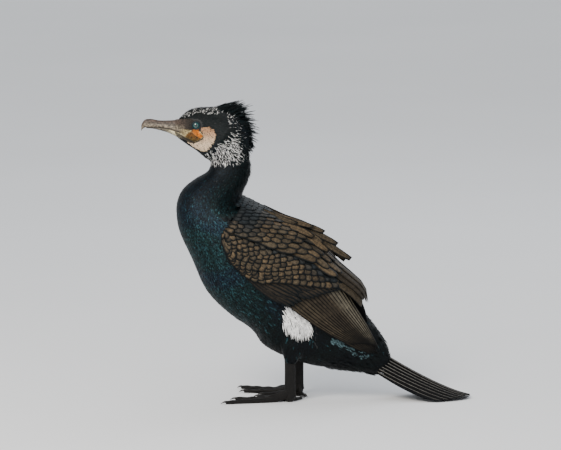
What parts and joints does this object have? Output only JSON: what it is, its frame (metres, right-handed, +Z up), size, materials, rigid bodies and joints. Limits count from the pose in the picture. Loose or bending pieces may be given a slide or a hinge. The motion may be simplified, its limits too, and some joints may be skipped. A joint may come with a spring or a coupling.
{
  "type": "great cormorant model",
  "caption": "Life-size still model of a standing cormorant in breeding dress, with a shaggy crest, folded wings, roof-shaped tail on the floor and webbed feet.",
  "frame": {"origin": "on the floor, in the middle of the bird's outline seen from above", "axes": "-X the way the bird faces, +Y towards its right side, +Z up"},
  "size_m": [0.5432, 0.177, 0.4934],
  "materials": {
    "plumage": "black feathers with a blue-green gloss",
    "wing_feathers": "bronze-brown feathers with glossy black borders",
    "quills": "stiff dark grey tail feathers with pale shafts",
    "horn": "mottled grey-brown horn",
    "lower_horn": "pale cream and grey horn",
    "iris": "emerald eye under a clear wet surface",
    "leg_skin": "black scaled skin"
  },
  "bodies": {
    "root": {"head": "plumage", "neck_upper": "plumage", "neck_lower": "plumage", "torso": "plumage", "bill_upper": "horn", "bill_lower": "lower_horn", "eye_left": "iris", "eye_right": "iris", "wing_left": "wing_feathers", "wing_right": "wing_feathers", "tail": "quills", "thigh_left": "plumage", "thigh_right": "plumage", "shank_left": "leg_skin", "shank_right": "leg_skin", "foot_left": "leg_skin", "foot_right": "leg_skin"}
  },
  "joints": []
}
